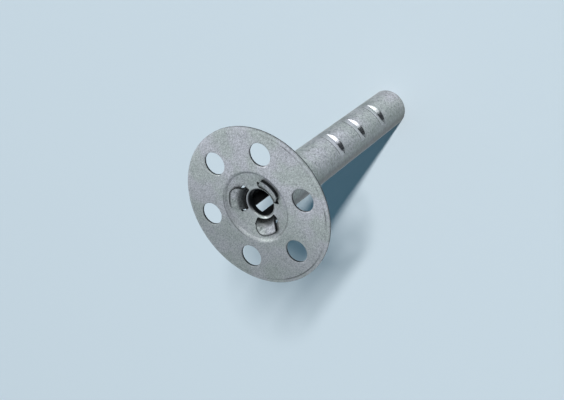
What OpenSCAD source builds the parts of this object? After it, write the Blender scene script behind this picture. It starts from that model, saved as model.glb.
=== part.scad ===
// Metal fixing dowel for insulation boards: a pressed head disc and a rolled, slit sleeve.
// The sleeve's three ears come up through the windows of the hub and are folded out over it,
// which holds the two pieces together for good.
// Millimetres. The dowel stands on the end of its sleeve, with the front of the disc up. The origin
// is on its axis at the sleeve's end, the slit is towards +Y and the grooves are towards -Y.

/* [Disc] */
// Outside diameter of the disc
disc_d = 35; // [30:0.5:60]
// Thickness of the disc's sheet
disc_t = 0.5; // [0.4:0.05:0.7]
// Width of the rim that is turned back a little
rim_w = 1; // [0.5:0.1:2]
// How far the rim is turned back
rim_drop = 0.12; // [0.04:0.02:0.4]

/* [Holes in the disc] */
// Number of round holes
hole_count = 6; // [3:1:8]
// Diameter of each hole
hole_d = 5; // [2:0.1:6]
// Diameter of the circle that the holes' centres lie on
hole_pcd = 24.7; // [23.5:0.1:25.5]
// Turn from the middle of a spoke to the first hole
hole_turn = 27.5; // [0:0.5:60]
// Width of the pressed edge around each hole
hole_edge_w = 0.25; // [0.05:0.05:0.3]
// Depth of the pressed edge around each hole
hole_edge_h = 0.1; // [0.05:0.01:0.2]

/* [Hub] */
// Diameter at the top of the hub's dish, where the sheet leaves the flat face
dish_d = 16.2; // [15.5:0.1:17]
// Diameter at the foot of the dish's wall
dish_foot_d = 15.1; // [14.6:0.1:15.3]
// Depth of the foot below the flat face
dish_depth = 0.5; // [0.3:0.05:0.7]
// Bend radius at the top and the foot of the dish, in the middle of the sheet
dish_bend_r = 0.6; // [0.3:0.1:0.8]
// Depth of the ring round the middle hole below the flat face
ring_depth = 2; // [1.7:0.05:2.3]
// Diameter of the middle hole
mouth_d = 5.9; // [5:0.1:6]
// Radius of the rounded lip of the middle hole
lip_r = 0.75; // [0.7:0.05:0.9]
// Length of the short collar that is drawn down round the middle hole
collar_l = 1; // [0.5:0.1:3]

/* [Sleeve] */
// Outside diameter of the sleeve
sleeve_d = 9.6; // [9.4:0.1:10]
// Thickness of the sleeve's sheet
sleeve_t = 0.6; // [0.4:0.05:0.7]
// Length from the flat face of the disc to the tip of the sleeve
dowel_l = 60.8; // [50:0.1:200]
// Width of the slit along the sleeve
slit_w = 2; // [0.5:0.1:3]
// Turn from the middle of a spoke to the middle of the slit
slit_turn = -2; // [-10:1:10]

/* [Ears] */
// Width of each ear
ear_w = 4.9; // [3.5:0.1:5.2]
// Diameter over the ends of the three ears
ear_d = 13; // [12.4:0.1:13.4]
// How much steeper the folded ear is than the floor that it lies on, in degrees
ear_lift = 1; // [0:0.5:6]
// Radius of the ear's sharper corner
ear_corner_r = 0.6; // [0.2:0.1:1.2]
// Radius of the ear's rounder corner
ear_round_r = 1.9; // [0.6:0.1:2.2]
// Bend radius on the hollow side of the ear's fold
ear_bend_r = 0.55; // [0.2:0.05:0.6]
// How far the ears lean in on their way up to the fold
ear_lean = 0.08; // [0.02:0.01:0.15]
// Length of sleeve below the spokes along which the ears begin to lean
ear_neck = 0.3; // [0.1:0.05:0.5]

/* [Pressed grooves] */
// Number of grooves across the sleeve
groove_count = 3; // [1:1:4]
// Distance from one groove to the next
groove_pitch = 10; // [5:0.1:11]
// Distance from the tip to the middle of the last groove
groove_from_tip = 12.1; // [4:0.1:15]
// Width of each groove at the sleeve's surface
groove_w = 3; // [2.4:0.1:4]
// Depth of each groove in its middle, from where it fades out to both ends
groove_h = 0.75; // [0.3:0.05:0.9]
// Slope of the groove's walls
groove_slope = 52; // [45:1:70]
// Radius of the rounded edges of each groove
groove_edge_r = 0.35; // [0.05:0.05:0.4]
// Part of the circle that a groove runs round, in degrees
groove_span = 86; // [76:1:100]

/* [Clearances] */
// Gap between the folded ears, the sleeve's end and the disc
seat_gap = 0.04; // [0.02:0.01:0.1]
// Gap between an ear and the sides of its window, where they are closest
window_side_gap = 0.15; // [0.1:0.05:0.4]
// Gap between the ears and the outer and the inner edge of the window
window_edge_gap = 0.45; // [0.35:0.05:0.5]
// Radius of the window's corners
window_corner_r = 0.35; // [0.1:0.05:0.5]

/* [Hidden] */
$fn = 72;
arc_steps = 4;
ear_count = 3;
ear_pitch = 360 / ear_count;
far = 5;
skin = 0.01;

disc_r = disc_d / 2;
sleeve_r = sleeve_d / 2;
mouth_r = mouth_d / 2;

// The floor of the hub is a shallow cone that falls towards the ring round the middle hole
ring_r = mouth_r + disc_t;
floor_slope = (ring_depth - dish_depth) / (dish_foot_d / 2 - ring_r);
function floor_z(r) = -dish_depth - (dish_foot_d / 2 - r) * floor_slope;
floor_t = disc_t * sqrt(1 + floor_slope * floor_slope);
ear_slope = atan(floor_slope) + ear_lift;

// The windows, and where the sleeve ends under the spokes between them
window_in_r = max(sleeve_r - sleeve_t - window_edge_gap - 0.2, ring_r + 0.05);
window_out_r = sleeve_r + window_edge_gap;
window_half = asin((ear_w / 2 + window_side_gap) / (sleeve_r - sleeve_t - ear_lean));
sleeve_top = floor_z(sleeve_r - sleeve_t) - floor_t - seat_gap;

// How far beyond the axis the middle of a groove's flatter arc lies, so that it fades out
groove_back = (pow(sleeve_r, 2) - pow(sleeve_r - groove_h, 2))
    / (sleeve_r - groove_h - sleeve_r * cos(groove_span / 2)) / 2;

// Paths in the plane of a revolve: [radius, height]
function unit(v) = v / norm(v);
function left(v) = [-v[1], v[0]];
function turned(v, a) = [v[0] * cos(a) - v[1] * sin(a), v[0] * sin(a) + v[1] * cos(a)];
function bend(a, b, c, r) =
    let (u = unit(a - b), w = unit(c - b), half = acos(u * w) / 2,
         m = b + unit(u + w) * r / sin(half),
         start = b + u * r / tan(half) - m,
         side = sign(u[1] * w[0] - u[0] * w[1]))
    [for (i = [0:arc_steps]) m + turned(start, side * (180 - 2 * half) * i / arc_steps)];
function rounded(p, r) =
    concat([p[0]], [for (i = [1:len(p) - 2]) each bend(p[i - 1], p[i], p[i + 1], r[i - 1])], [p[len(p) - 1]]);
function side_at(p, i) =
    let (n = len(p), before = left(unit(p[max(i, 1)] - p[max(i, 1) - 1])),
         after = left(unit(p[min(i + 1, n - 1)] - p[min(i, n - 2)])), m = unit(before + after))
    m / (m * before);
// The outline of a sheet of thickness t whose middle follows the path
function sheet(p, t) =
    let (n = len(p))
    concat([for (i = [0:n - 1]) p[i] + side_at(p, i) * t / 2],
           [for (i = [n - 1:-1:0]) p[i] - side_at(p, i) * t / 2]);

// Stands the dowel on its end and turns the slit towards +Y. The pieces are drawn from the disc's
// flat face at z = 0 downwards, with the middle of a spoke towards +X.
module stand_up() {
    translate([0, 0, dowel_l])
        rotate([0, 0, 90 - slit_turn])
            children();
}

// Stands each child in the middle of an ear or its window
module each_ear() {
    for (i = [0:ear_count - 1])
        rotate([0, 0, (i + 0.5) * ear_pitch])
            children();
}

// Middle of the disc's sheet, from beyond the rim to the end of the collar
function disc_path() =
    let (half = disc_t / 2, floor_half = floor_t / 2, drop = rim_drop / rim_w)
    rounded([
        [disc_r + 1, -rim_drop - drop - half],
        [disc_r - rim_w, -half],
        [dish_d / 2, -half],
        [dish_foot_d / 2, -dish_depth - floor_half],
        [mouth_r + half, floor_z(mouth_r + half) - floor_half],
        [mouth_r + half, -ring_depth - disc_t - collar_l]
    ], [dish_bend_r, dish_bend_r, dish_bend_r, lip_r - half]);

module disc_sheet() {
    rotate_extrude()
        intersection() {
            polygon(sheet(disc_path(), disc_t));
            translate([0, -ring_depth - disc_t - collar_l])
                square([disc_r, ring_depth + disc_t + collar_l]);
        }
}

// Points on a circle round the point c, between two angles
function arc_points(c, r, from, to, steps) =
    [for (i = [0:steps]) let (a = from + (to - from) * i / steps) c + r * [cos(a), sin(a)]];

// A window: a piece of a ring with round corners
module window_shape() {
    c = window_corner_r;
    r1 = window_in_r + c;
    r2 = window_out_r - c;
    t1 = window_half - asin(c / r1);
    t2 = window_half - asin(c / r2);
    side = window_half + 90;
    corners = concat(
        arc_points(r2 * [cos(t2), sin(t2)], c, t2, side, arc_steps),
        arc_points(r1 * [cos(t1), sin(t1)], c, side, t1 + 180, arc_steps));
    polygon(concat(
        arc_points([0, 0], window_out_r, -t2, t2, 24),
        [for (i = [1:len(corners) - 2]) corners[i]],
        arc_points([0, 0], window_in_r, t1, -t1, 16),
        [for (i = [len(corners) - 2:-1:1]) [corners[i][0], -corners[i][1]]]));
}

module disc_hole() {
    translate([0, 0, -disc_t - far])
        cylinder(d = hole_d, h = disc_t + 2 * far);
    translate([0, 0, -hole_edge_h])
        cylinder(d1 = hole_d, d2 = hole_d + 4 * hole_edge_w, h = 2 * hole_edge_h);
}

module disc_sheet_cut() {
    difference() {
        disc_sheet();
        each_ear()
            translate([0, 0, -ring_depth - disc_t - far])
                linear_extrude(height = ring_depth + disc_t + 2 * far)
                    window_shape();
        for (i = [0:hole_count - 1])
            rotate([0, 0, hole_turn + i * 360 / hole_count])
                translate([hole_pcd / 2, 0, 0])
                    disc_hole();
    }
}

// Middle of the sleeve's sheet, from the tip to the end of an ear that is folded out over the hub
function sleeve_path() =
    let (half = sleeve_t / 2, root_r = sleeve_r - half, end_r = ear_d / 2 + 1,
         seat_z = floor_z(window_out_r) + seat_gap + half / cos(ear_slope))
    rounded([
        [root_r, -dowel_l],
        [root_r, sleeve_top - ear_neck],
        [root_r - ear_lean, seat_z - (window_out_r - root_r + ear_lean) * tan(ear_slope)],
        [end_r, seat_z + (end_r - window_out_r) * tan(ear_slope)]
    ], [1, ear_bend_r + half]);

// An ear seen along the sleeve: straight sides, and a round end with one corner rounder than the
// other
module ear_outline() {
    end = ear_d / 2;
    side = ear_w / 2;
    intersection() {
        circle(r = end);
        polygon(rounded([[0, -side], [end, -side], [end, side], [0, side]], [ear_round_r, ear_corner_r]));
    }
}

// What is cut away between the ears, above the end of the sleeve
module between_ears() {
    difference() {
        translate([0, 0, sleeve_top])
            cylinder(r = ear_d, h = far);
        each_ear()
            translate([0, 0, sleeve_top - 1])
                linear_extrude(height = far + 2)
                    ear_outline();
    }
}

// A piece of a ring whose walls slope in from r_edge to r_floor and have rounded edges there. The
// radii are those from the axis in the groove's middle; the ring itself is flatter than that.
module groove_ring(r_floor, r_edge, r_out, w) {
    slope_w = (r_edge - r_floor) / tan(groove_slope);
    before = [r_edge, -w / 2 - 1];
    edge = [r_edge, -w / 2];
    foot = [r_floor, -w / 2 + slope_w];
    half = concat([[r_out, -w / 2 - groove_edge_r]], bend(before, edge, foot, groove_edge_r), [foot]);
    translate([-groove_back, 0, 0])
        rotate([0, 0, -groove_span / 2])
            rotate_extrude(angle = groove_span)
                translate([groove_back, 0])
                    polygon(concat(half, [for (i = [len(half) - 1:-1:0]) [half[i][0], -half[i][1]]]));
}

module each_groove() {
    for (i = [0:groove_count - 1])
        translate([0, 0, -dowel_l + groove_from_tip + i * groove_pitch])
            rotate([0, 0, slit_turn + 180])
                children();
}

// Inside the sleeve a groove shows as a bead, one sheet wider all round
module bead() {
    hollow_r = sleeve_r - sleeve_t;
    bead_w = groove_w + 2 * sleeve_t * tan(groove_slope / 2);
    intersection() {
        groove_ring(hollow_r - groove_h, hollow_r + skin, sleeve_r, bead_w);
        translate([0, 0, -bead_w])
            cylinder(r = sleeve_r - sleeve_t / 2, h = 2 * bead_w);
    }
}

module sleeve_sheet_cut() {
    difference() {
        union() {
            rotate_extrude()
                polygon(sheet(sleeve_path(), sleeve_t));
            each_groove()
                bead();
        }
        each_groove()
            groove_ring(sleeve_r - groove_h, sleeve_r + skin, sleeve_r + 1, groove_w);
        between_ears();
        rotate([0, 0, slit_turn])
            translate([0, -slit_w / 2, -dowel_l - 1])
                cube([sleeve_r + 1, slit_w, dowel_l + far]);
    }
}

module disc() {
    color("silver")
        stand_up()
            disc_sheet_cut();
}

module sleeve() {
    color("darkgray")
        stand_up()
            sleeve_sheet_cut();
}

disc();
sleeve();
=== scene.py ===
# %% [markdown]
# # A metal fixing dowel on a pale table
# The dowel is two pieces of zinc coated sheet: a pressed disc for a head, and a rolled sleeve with
# a slit. Both come from the CAD frame with their true shape, so nothing is modelled here. This
# script gives them their metal, puts a table under them, and lights and frames them as in the
# photograph.

import bpy
import math
from mathutils import Euler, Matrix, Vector


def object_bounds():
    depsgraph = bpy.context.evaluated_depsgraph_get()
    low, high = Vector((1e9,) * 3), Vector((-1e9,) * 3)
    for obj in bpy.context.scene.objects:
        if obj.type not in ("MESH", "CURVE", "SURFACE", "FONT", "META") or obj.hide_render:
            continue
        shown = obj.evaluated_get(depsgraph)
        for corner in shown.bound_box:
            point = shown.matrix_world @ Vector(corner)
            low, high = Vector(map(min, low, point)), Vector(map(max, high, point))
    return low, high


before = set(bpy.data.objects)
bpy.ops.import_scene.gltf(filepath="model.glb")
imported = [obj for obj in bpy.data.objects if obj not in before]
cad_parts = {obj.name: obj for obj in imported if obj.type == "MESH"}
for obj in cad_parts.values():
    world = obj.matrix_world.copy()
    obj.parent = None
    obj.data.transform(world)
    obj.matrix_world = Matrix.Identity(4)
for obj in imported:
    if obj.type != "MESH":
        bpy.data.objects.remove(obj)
cad_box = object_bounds()
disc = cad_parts["disc"]
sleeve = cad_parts["sleeve"]
print("pieces:", sorted(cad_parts), "box:", [list(corner) for corner in cad_box])

# %% [markdown]
# ## Camera
# In the photograph the dowel lies on its rim and its tip, and the camera looks at the head from the
# front, at about 43 degrees to the axis. Here the dowel stands on the end of its sleeve, because it
# would roll if it lay. The camera is turned with it, so that the picture of the dowel is the same.
# Its place and turn were found by fitting the six holes, the rim and the sleeve's edges.

# %% Camera
MM = 0.001
PHOTO_WIDTH = 564
FOCAL_PIXELS = 829.9
SENSOR_MM = 36.0
CAMERA_PLACE_MM = (-19.51, -117.96, 181.52)
CAMERA_TURN_DEGREES = (-29.524, 32.709, -144.707)
NEAREST_SEEN = 0.005
FARTHEST_SEEN = 20.0

camera_data = bpy.data.cameras.new("camera")
camera_data.sensor_fit = "HORIZONTAL"
camera_data.sensor_width = SENSOR_MM
camera_data.lens = FOCAL_PIXELS / PHOTO_WIDTH * SENSOR_MM
camera_data.clip_start = NEAREST_SEEN
camera_data.clip_end = FARTHEST_SEEN
camera = bpy.data.objects.new("camera", camera_data)
camera.location = Vector(CAMERA_PLACE_MM) * MM
camera.rotation_euler = Euler([math.radians(angle) for angle in CAMERA_TURN_DEGREES])
bpy.context.scene.collection.objects.link(camera)
bpy.context.scene.camera = camera
print("lens:", round(camera_data.lens, 2), "mm")

# %% [markdown]
# ## Shader maths
# A pattern on a surface is sums and products of noise and distances. The nodes for them could be
# added and linked one by one, but a long pattern then can't be read. A small class wraps a socket
# instead, so that `1 - mask * 0.5` adds the Math nodes by itself and reads like arithmetic.

# %% Sockets as values
class Val:
    """A node socket that can be added, subtracted, multiplied and divided."""

    def __init__(self, tree, socket):
        self.tree = tree
        self.socket = socket

    def _math(self, operation, *terms):
        node = self.tree.nodes.new("ShaderNodeMath")
        node.operation = operation
        for slot, term in zip(node.inputs, terms):
            if isinstance(term, Val):
                self.tree.links.new(term.socket, slot)
            else:
                slot.default_value = term
        return Val(self.tree, node.outputs[0])

    def __add__(self, other):
        return self._math("ADD", self, other)

    def __radd__(self, other):
        return self._math("ADD", other, self)

    def __sub__(self, other):
        return self._math("SUBTRACT", self, other)

    def __rsub__(self, other):
        return self._math("SUBTRACT", other, self)

    def __mul__(self, other):
        return self._math("MULTIPLY", self, other)

    def __rmul__(self, other):
        return self._math("MULTIPLY", other, self)

    def __truediv__(self, other):
        return self._math("DIVIDE", self, other)

    def __neg__(self):
        return self._math("SUBTRACT", 0.0, self)

    def root(self):
        return self._math("SQRT", self)

    def size(self):
        """The value without its sign."""
        return self._math("ABSOLUTE", self)

    def wrap(self, span):
        """From half a span below 0 to half a span above, over and over."""
        return self._math("FLOORED_MODULO", self + span / 2, span) - span / 2

    def cos(self):
        return self._math("COSINE", self)

    def sin(self):
        return self._math("SINE", self)

    def angle_from(self, x):
        """The angle of the point (x, self) round the axis, in radians."""
        return self._math("ARCTAN2", self, x)


print("values ready")

# %% [markdown]
# ## Node trees
# One class holds the node tree of a material or of the world. Its `node` method adds any node with
# its settings and links. The other methods are the few patterns that every mark below is made of:
# noise of a given size, spots cut out of it, a smooth step up or down, and a stripe.

# %% Materials and world as node trees
class Shader:
    """The node tree of a material or of the world, and one way to add any node to it."""

    def __init__(self, owner, main="Principled BSDF"):
        owner.use_nodes = True
        self.owner = owner
        self.tree = owner.node_tree
        self.surface = self.tree.nodes[main]

    def node(self, kind, settings=None, out=0, **sockets):
        """Add a node; an input is given by its name, or by i and its number where names repeat."""
        node = self.tree.nodes.new(kind)
        for name, value in (settings or {}).items():
            setattr(node, name, value)
        for name, value in sockets.items():
            key = int(name[1:]) if name[0] == "i" and name[1:].isdigit() else name.replace("_", " ")
            self.put(node.inputs[key], value)
        return Val(self.tree, node.outputs[out])

    def put(self, socket, value):
        if isinstance(value, Val):
            self.tree.links.new(value.socket, socket)
        else:
            socket.default_value = value

    def set(self, name, value):
        self.put(self.surface.inputs[name], value)

    def parts(self, vector):
        """The x, y and z of a vector, as three values."""
        split = self.node("ShaderNodeSeparateXYZ", Vector=vector).socket.node
        return [Val(self.tree, output) for output in split.outputs]

    def noise(self, point, size_mm, detail=3.0, roughness=0.5):
        """Noise from 0 to 1 whose blotches are about size_mm across."""
        return self.node("ShaderNodeTexNoise", Vector=point, Scale=1.0 / (size_mm * MM), Detail=detail,
                         Roughness=roughness)

    def spots(self, point, size_mm, low, high, detail=3.0, roughness=0.5):
        """The high parts of such noise: nothing where it is below low, full where it is above high."""
        return self.rise(self.noise(point, size_mm, detail, roughness), low, high)

    def rise(self, value, low, high):
        """0 below low, 1 above high, smooth between."""
        return self.node("ShaderNodeMapRange", {"interpolation_type": "SMOOTHSTEP"}, Value=value,
                         From_Min=low, From_Max=high)

    def fall(self, value, low, high):
        """1 below low, 0 above high, smooth between."""
        return 1 - self.rise(value, low, high)

    def stripe(self, value, half, soft):
        """1 where the value is within half of 0, and 0 from soft on, on either side."""
        return self.fall(value.size(), half, soft)

    def mix(self, factor, a, b):
        """Colour a where the factor is 0, colour b where it is 1."""
        return self.node("ShaderNodeMix", {"data_type": "RGBA"}, out=2, i0=factor, i6=a, i7=b)


print("node helpers ready")

# %% [markdown]
# ## Where a point is on the piece
# Masks need to know how far a point is from the axis and which way its surface faces. Object
# coordinates and the object's own normal give both, in millimetres and as cosines. They stay with
# the piece, so the marks stay put in any view.

# %% Place and facing
class Place:
    """A point in millimetres on the object's axes, and how its surface faces.

    r is the distance from the dowel's axis. The surface faces up, out from the axis and along the
    way round it, each by a share from -1 to 1.
    """

    def __init__(self, shader):
        self.point = shader.node("ShaderNodeTexCoord", out="Object")
        self.x, self.y, self.z = (length / MM for length in shader.parts(self.point))
        facing = shader.node("ShaderNodeTexCoord", out="Normal")
        nx, ny, self.up = shader.parts(facing)
        self.r = (self.x * self.x + self.y * self.y).root()
        self.out = (nx * self.x + ny * self.y) / self.r
        self.along = (ny * self.x - nx * self.y) / self.r

    def towards(self, direction):
        """How far the point lies from the axis in a direction that is given by its x and y."""
        return self.x * direction[0] + self.y * direction[1]


print("place helper ready")

# %% [markdown]
# ## Zinc tones
# The real sheet has a dull zinc coat: a cool middle grey with a fine frosty grain and faint cloudy
# patches that lean to lilac or to green. Where the sheet was cut, at the holes, the windows and the
# ears, the bare edge is dark and rough. The same dark tone also paints shade. Six tones are enough,
# because masks mix them.

# %% Colours
def srgb(r, g, b):
    """A colour as an image shows it, 0 to 255, turned into the linear values that a shader takes."""
    def linear(c):
        c /= 255.0
        return c / 12.92 if c <= 0.04045 else ((c + 0.055) / 1.055) ** 2.4
    return (linear(r), linear(g), linear(b), 1.0)


LILAC = srgb(211, 212, 219)
GREEN = srgb(197, 205, 202)
FROST = srgb(222, 223, 226)
DULL = srgb(100, 110, 109)
SOOT = srgb(70, 76, 79)
# Bare cut steel, and also the tone of painted shade.
SHEARED_AND_SHADE = srgb(35, 39, 42)
print("zinc tones:", [tuple(round(c, 3) for c in tone[:3]) for tone in (LILAC, GREEN, FROST)])

# %% [markdown]
# ## The coat
# One function builds the coat that both pieces share: clouds of lilac and green, then layers of
# speckle over them, from coarse to fine. Scuffs and grain are drawn out along one axis, as by the
# mill that rolled the sheet. A picture of zinc could be wrapped round the pieces instead, but noise
# in millimetres has no seams and stays fine from close by.
#
# Ambient occlusion finds the tight corners, which get painted shade. A Bevel node finds the edges:
# where its rounded normal leaves the true one, the coat is rubbed off and the dark steel shows.
#
# What is special to a piece comes in as masks from 0 to 1:
#
# - `sheared`: bare cut edges, dark and rough
# - `rubbed`: pressed smooth by the tool, bright and free of speckle
# - `shade`: painted shade in deep or folded places, and painted lines of shade and shadow
# - `dull`: greyer surfaces, partly soil and partly painted shade that darkens one side

# %% Coat
CLOUD_MM = 6.0
MOTTLE_MM = 1.3
SCUFF_MM = 0.55
PIT_MM = 0.24
GRAIN_MM = 0.20
FROST_MM = 0.15
GRAIN_DEPTH_MM = 0.03
CORNER_SHADE_REACH_MM = 0.7
STRETCH = (1.0, 0.35, 1.0)


def zinc(shader, place, sheared, rubbed, shade, dull, worn=1.0, edge_mm=0.18):
    """Fill the material; worn makes the speckle coarser and stronger, edges are worn for edge_mm."""
    stretched = shader.node("ShaderNodeVectorMath", {"operation": "MULTIPLY"}, i0=place.point,
                            i1=STRETCH)
    clouds = shader.spots(place.point, CLOUD_MM, low=0.38, high=0.62, detail=4.0, roughness=0.55)
    mottle = shader.spots(place.point, MOTTLE_MM, low=0.38, high=0.66, roughness=0.6)
    frost = shader.spots(place.point, FROST_MM, low=0.54, high=0.66, detail=1.0)
    pits = shader.spots(place.point, PIT_MM * worn, low=0.55, high=0.66, roughness=0.7)
    scuffs = shader.spots(stretched, SCUFF_MM, low=0.53, high=0.66, detail=4.0, roughness=0.7)
    grain = shader.noise(stretched, GRAIN_MM * worn, detail=2.0, roughness=0.6)

    # Painted shade in tight corners, found by ambient occlusion.
    open_sky = shader.node("ShaderNodeAmbientOcclusion", {"samples": 8}, out="AO",
                           Distance=CORNER_SHADE_REACH_MM * MM)
    corner_shade = shader.fall(open_sky, 0.25, 0.85)
    rounded = shader.node("ShaderNodeBevel", {"samples": 6}, Radius=edge_mm * MM)
    facing = shader.node("ShaderNodeNewGeometry", out="Normal")
    same_way = shader.node("ShaderNodeVectorMath", {"operation": "DOT_PRODUCT"}, out="Value",
                           i0=rounded, i1=facing)
    edges = shader.fall(same_way, 0.72, 0.97)

    unrubbed = 1 - rubbed
    layers = ((mottle * (0.09 * worn), SOOT),
              (shader.rise(grain, 0.34, 0.66) * 0.42 * unrubbed, SOOT),
              (frost * 0.58, FROST),
              (pits * (0.22 + 0.21 * worn) * unrubbed, SOOT),
              (scuffs * (0.26 * worn) * unrubbed, DULL),
              (dull, DULL),
              (shade, SHEARED_AND_SHADE),
              (corner_shade * 0.9, SHEARED_AND_SHADE),
              (edges * 0.6, SHEARED_AND_SHADE),
              (sheared * 0.95, SHEARED_AND_SHADE))
    coat = shader.mix(clouds, GREEN, LILAC)
    for amount, tone in layers:
        coat = shader.mix(amount, coat, tone)
    shader.set("Base Color", coat)
    shader.set("Metallic", 0.82 + 0.18 * rubbed)
    shader.set("Roughness", 0.40 + 0.16 * grain - 0.26 * rubbed + 0.15 * sheared)
    shader.set("Normal", shader.node("ShaderNodeBump", Strength=0.3, Distance=GRAIN_DEPTH_MM * MM,
                                     Height=grain * (1 - 0.8 * rubbed)))
    return shader.owner


print("coat ready")

# %% [markdown]
# ## The disc's edges
# On the real disc every wall that stands upright was cut by the press: the holes, the windows and
# the rim. The front of the rim's wall was rolled back with the rim, so it keeps more of its coat.
# The lip of the mouth is rubbed smooth. Its throat gets painted shade, apart from the side of the lip
# that catches the light.
#
# Each of these faces could have a material of its own. The CAD mesh stays as it came, though, so
# masks pick the faces out by how they face and how far they are from the axis. The disc's radius
# and its front come from the frame, and the radius of the mouth is that of the CAD part, all in
# millimetres. A direction, such as that of the lit side, is written as x and y on the disc.

# %% Edges of the disc
DISC_R = disc.dimensions.x / MM / 2
DISC_FRONT = cad_box[1][2] / MM
ROLLED_DEPTH = 0.40
MOUTH_R = 2.95
LIT_SIDE = (-0.79, 0.61)

shader = Shader(bpy.data.materials.new("zinc_head"))
place = Place(shader)
upright = shader.fall(place.up.size(), 0.25, 0.6)
below_front = DISC_FRONT - place.z
rolled_wall = (shader.rise(place.r, DISC_R - 0.10, DISC_R - 0.02)
               * shader.fall(below_front, ROLLED_DEPTH - 0.06, ROLLED_DEPTH + 0.06))
cut = upright * (1 - rolled_wall * 0.65)
rim = shader.rise(place.r, DISC_R - 0.9, DISC_R - 0.2)
lip = (shader.rise(place.r, MOUTH_R + 0.15, MOUTH_R + 0.40)
       * shader.fall(place.r, MOUTH_R + 0.85, MOUTH_R + 1.25))
lit_lip = (shader.rise(place.towards(LIT_SIDE), 0.3, 2.6)
           * shader.rise(place.r, MOUTH_R + 0.02, MOUTH_R + 0.07))
# Painted shade in the throat of the mouth, kept off the lit side of the lip.
throat_shade = shader.fall(place.r, MOUTH_R + 0.15, MOUTH_R + 0.60) * (1 - lit_lip)
print("disc: radius", round(DISC_R, 2), "mm, front at", round(DISC_FRONT, 2), "mm")

# %% [markdown]
# ## Lines on the disc
# Three kinds of fine dark line draw the pressed shapes in the photograph, all painted: painted shade
# along the roll of the rim, broken here and there, painted shade on the left edge of the dish, and a
# painted shadow behind each ear, which it throws on the sheet there. Creases could be cut into the
# mesh for them, but they are only about a pixel wide. As a stripe, a line needs only the distance from
# its curve. For the ears that is the distance from an outline with one rounder corner, repeated round
# the axis and moved to where the shadow is.

# %% Lines on the disc
RIM_ROLL = 0.75
BREAKS_MM = 7.0
DISH_R = 8.1
EAR_TIP_R = 6.5
EAR_SIDE = 2.45
EAR_CORNER_R = 1.9
EAR_COUNT = 3
FIRST_EAR_DEGREES = 32.0
SHADOW_X = 0.10
SHADOW_Y = 0.58
PHOTO_LEFT = (0.41, 0.91)
PHOTO_RIGHT = (-0.82, -0.57)


def ear_shadow_lines(shader, x, y):
    """A painted shadow line round the outer end of each ear."""
    r = (x * x + y * y).root()
    turn = (y.angle_from(x) - math.radians(FIRST_EAR_DEGREES)).wrap(2 * math.pi / EAR_COUNT)
    across = r * turn.sin()
    past_centre = r * turn.cos() - (EAR_TIP_R - EAR_CORNER_R)
    beside_centre = across + (EAR_SIDE - EAR_CORNER_R)
    past_corner = (past_centre * past_centre + beside_centre * beside_centre).root() - EAR_CORNER_R
    at_corner = shader.fall(beside_centre, -0.2, 0.2)
    past_ear = past_corner * at_corner + (r - EAR_TIP_R) * (1 - at_corner)
    outer_end = shader.rise(past_centre, -0.9, -0.1) * shader.fall(across, 1.5, 2.6)
    return shader.stripe(past_ear, 0.10, 0.26) * outer_end


breaks = shader.spots(place.point, BREAKS_MM, low=0.40, high=0.62)
# Painted shade along the roll of the rim, on the right side, broken by spots.
rim_roll_shade = (shader.stripe(place.r - (DISC_R - RIM_ROLL), 0.05, 0.22)
            * shader.rise(place.towards(PHOTO_RIGHT), -12.0, 9.0) * breaks)
# Painted shade on the dish's left edge.
dish_edge_shade = (shader.stripe(place.r - DISH_R, 0.06, 0.20)
             * shader.rise(place.towards(PHOTO_LEFT), 4.6, 7.6))
# A painted shadow behind each ear.
ear_shadows = ear_shadow_lines(shader, place.x - SHADOW_X, place.y - SHADOW_Y)
print("lines on the disc at radii", round(DISC_R - RIM_ROLL, 2), DISH_R, EAR_TIP_R, "mm")

# %% [markdown]
# ## The disc's coat
# The disc is painted darker, as shade, more and more towards the lower edge of the photograph. With
# that the masks are complete, and the finished material takes the place of the frame's plain one.

# %% Zinc on the disc
PHOTO_BELOW = (-0.50, 0.85)

# Painted shade, darker towards the lower edge.
lower_edge_shade = shader.rise(place.towards(PHOTO_BELOW), -11.0, 14.0) * 0.5
# All painted shade and painted shadow.
shade = throat_shade + rim_roll_shade * 0.55 + dish_edge_shade * 0.4 + ear_shadows * 0.9
disc.data.materials.clear()
disc.data.materials.append(zinc(shader, place, sheared=cut, rubbed=rim * 0.25 + lip * 0.7,
                                shade=shade, dull=lower_edge_shade))
print("zinc on", disc.name)

# %% [markdown]
# ## The sleeve's edges
# The real sleeve was cut along its slit and round its ears. Its inside is painted dark as shade, and
# the ears get painted shade at their tips and where they fold out of the mouth, on the left a little
# further. A cut face could be picked out by hand, but it is found by its facing: it looks along the
# way round the axis, where the tube's own wall looks straight out or in.

# %% Edges of the sleeve
EARS_FROM = 58.0

shader = Shader(bpy.data.materials.new("zinc_sleeve"))
place = Place(shader)
ears = shader.rise(place.z, EARS_FROM, EARS_FROM + 0.4)
tube = 1 - ears
wall = shader.fall(place.up.size(), 0.3, 0.6)
across = shader.rise(place.along.size(), 0.6, 0.85) * wall
slit_faces = across * shader.rise(place.y, 0.0, 1.0) * tube
ear_edges = (across + wall * shader.rise(place.r, EAR_TIP_R - 0.6, EAR_TIP_R - 0.4)) * ears
# Painted shade inside the tube.
inside_shade = shader.rise(-place.out, 0.3, 0.7) * tube
# Painted shade where the ears fold out of the mouth.
fold_shade = shader.fall(place.r - shader.rise(place.x, 0.0, 2.0) * 0.2, 4.4, 5.4) * ears
# Painted shade at the ear tips.
tip_shade = shader.rise(place.r, EAR_TIP_R - 0.35, EAR_TIP_R - 0.15) * ears
print("sleeve: tube up to", EARS_FROM, "mm, ears above")

# %% [markdown]
# ## Marks of the grooves
# The tool that pressed the grooves left their walls smooth and bright. Three more marks repeat with
# the grooves, all painted shade: a thin dark line on the side towards the head, which bends in at both
# ends as the groove does, a dark corner in the right end of the groove, and a dull patch beside the
# left end.
# Right and left are those of the photograph. Each mark could be placed three times, but the height
# is wrapped to one pitch instead, so that each is written once.

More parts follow.
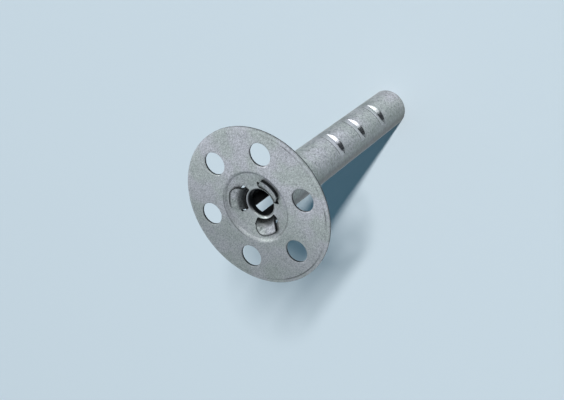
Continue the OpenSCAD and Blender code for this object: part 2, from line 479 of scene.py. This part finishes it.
# %% Marks of the grooves
SLEEVE_R = 4.8
GROOVE_FIRST = 12.1
GROOVE_PITCH = 10.0
GROOVES_FROM = 7.0
GROOVES_TO = 38.0
GROOVE_HALF = 1.6
GROOVE_BEND = 0.055

right = -place.x
grooved = (shader.rise(place.z, GROOVES_FROM, GROOVES_FROM + 1.0)
           * shader.fall(place.z, GROOVES_TO, GROOVES_TO + 1.0))
grooves = (shader.fall(place.r, SLEEVE_R - 0.10, SLEEVE_R - 0.01)
           * shader.rise(place.out, -0.3, 0.1) * grooved)
above = (place.z - GROOVE_FIRST).wrap(GROOVE_PITCH)
upper_edge = GROOVE_HALF - place.x * place.x * GROOVE_BEND
# A painted shade line at the groove's edge towards the head.
groove_edge_shade = (shader.stripe(above - upper_edge, 0.06, 0.26)
               * shader.rise(place.r, SLEEVE_R - 0.2, SLEEVE_R - 0.1)
               * shader.fall(place.y, -3.4, -3.1) * shader.fall(right, 2.2, 2.9) * grooved)
# Painted shade in the right end of each groove.
groove_corner_shade = (grooves * shader.rise(right, -0.1, 0.7) * shader.fall(right, 2.0, 2.5)
                 * shader.fall(above, -0.65, -0.35))
# Painted shade beside the left end of each groove.
beside_groove_shade = shader.stripe(above + 1.0, 0.5, 4.0) * shader.fall(place.y, -0.8, 1.0) * grooved
print("grooves: first at", GROOVE_FIRST, "mm, then every", GROOVE_PITCH, "mm")

# %% [markdown]
# ## The sleeve's coat
# The sleeve is darker on both sides, the right one most. On the right this is painted shade and soil,
# on the left a plain darkening with painted shade beside each groove, and a narrow band of painted
# shade runs along the right edge. The sleeve is rougher than the disc, so its speckle is coarser and
# its edges are worn further. It could have a coat of its own, but the shared one with stronger wear
# keeps the two pieces looking as if they came out of one zinc bath.

# %% Zinc on the sleeve
# Painted shade and soil, darker towards the right.
shade_and_soil_right = shader.rise(right, -1.5, 4.8) * 0.8
# Darker towards the left edge, with painted shade beside each groove.
darker_left = shader.rise(place.x, 1.2, 4.4) * (0.5 + beside_groove_shade * 0.28)
# A band of painted shade along the right edge.
right_edge_shade = shader.rise(right, 3.5, 4.7) * tube
# Painted shade inside, along the right edge, in the folds, at the ear tips and by the grooves.
shade = (inside_shade * 0.95 + right_edge_shade * 0.52 + fold_shade * 0.8 + tip_shade * 0.45 + groove_edge_shade * 0.6
         + groove_corner_shade * 0.85)
dull = (shade_and_soil_right + darker_left) * tube + ears * 0.1
sleeve.data.materials.clear()
sleeve.data.materials.append(zinc(shader, place, sheared=slit_faces + ear_edges, rubbed=grooves * 0.8,
                                  shade=shade, dull=dull, worn=2.0, edge_mm=0.26))
print("zinc on", sleeve.name)

# %% [markdown]
# ## Table
# A plain pale blue table top. The photograph's metal doesn't take on the blue, so the table is blue
# to the camera, and a light neutral grey to everything that mirrors it. It lies a hair below the
# end of the sleeve, so that no two faces lie in one plane.

# %% Table
TABLE_SIDE = 6.0
TABLE_DROP_MM = 0.02
TABLE_MIRRORED = srgb(236, 239, 244)
TABLE_SEEN = srgb(198, 211, 221)

bpy.ops.mesh.primitive_plane_add(size=TABLE_SIDE, location=(0, 0, -TABLE_DROP_MM * MM))
table = bpy.context.object
table.name = "table"
paint = Shader(bpy.data.materials.new("table_paint"))
seen = paint.node("ShaderNodeLightPath", out="Is Camera Ray")
paint.set("Base Color", paint.mix(seen, TABLE_MIRRORED, TABLE_SEEN))
paint.set("Roughness", 0.9)
paint.set("Specular IOR Level", 0.1)
table.data.materials.append(paint.owner)
print("table:", TABLE_SIDE, "m wide")

# %% [markdown]
# ## Light
# One far lamp, a little above the camera and to its left, draws the shadow beside the sleeve. It is
# narrow and tall: narrow keeps the long edges of that shadow sharp, and tall smears the shadow of
# the disc to a faint blur, like the one below it in the photograph. It lights dull surfaces only.
#
# What the metal mirrors are three small cards, which light nothing else: one near the camera for
# the grooves, and two further to the left for the lip of the mouth.

# %% Lamp and cards
AIM_MM = (0, 0, 45.0)
CARD_DISTANCE = 0.5


def soft_lamp(name, towards, distance, width, height, level, colour=(1, 1, 1)):
    """A flat lamp that faces the dowel from a direction; level is how bright its face looks."""
    aim = Vector(AIM_MM) * MM
    data = bpy.data.lights.new(name, "AREA")
    data.shape = "RECTANGLE"
    data.size, data.size_y = width, height
    data.energy = level * math.pi * width * height
    data.color = colour
    lamp = bpy.data.objects.new(name, data)
    lamp.location = aim + Vector(towards).normalized() * distance
    lamp.rotation_euler = (aim - lamp.location).to_track_quat("-Z", "Y").to_euler()
    bpy.context.scene.collection.objects.link(lamp)
    return lamp


key = soft_lamp("key", towards=(0.101, -0.692, 0.715), distance=9.0, width=0.42, height=3.3,
                level=243.0, colour=(1.0, 0.96, 0.92))
key.visible_glossy = False
for name, towards, side, level in (("card_front", (0.36, -0.59, 0.72), 0.17, 4.5),
                                   ("card_side", (0.94, 0.05, 0.34), 0.20, 4.9),
                                   ("card_high", (0.73, 0.23, 0.64), 0.14, 3.1)):
    card = soft_lamp(name, towards, CARD_DISTANCE, width=side, height=side, level=level)
    card.visible_diffuse = False

# %% [markdown]
# ## Room
# The world answers each kind of ray in its own way. To the camera it is the pale blue of the table,
# so that no horizon is dark. To the metal it is a room, light behind and above the dowel and dimmer
# in front. Dull surfaces get a dim blue from all sides, which is what tints the shadow.

# %% Room
ROOM_DIM = srgb(165, 171, 177)
ROOM_LIGHT = srgb(225, 231, 237)
ROOM_SHADE = srgb(82, 113, 126)
ROOM_SEEN = srgb(199, 217, 228)

room = bpy.data.worlds.new("room")
bpy.context.scene.world = room
sky = Shader(room, "Background")
east, north, up = sky.parts(sky.node("ShaderNodeTexCoord", out="Generated"))
light_side = sky.rise(north * 0.6 + up * 0.55 + east * 0.4, -0.05, 0.9)
mirrored = sky.mix(light_side, ROOM_DIM, ROOM_LIGHT)
seen = sky.node("ShaderNodeLightPath", out="Is Camera Ray")
glossy = sky.node("ShaderNodeLightPath", out="Is Glossy Ray")
sky.set("Color", sky.mix(seen, sky.mix(glossy, ROOM_SHADE, mirrored), ROOM_SEEN))
bpy.context.scene.view_settings.view_transform = "Standard"
print("room ready")
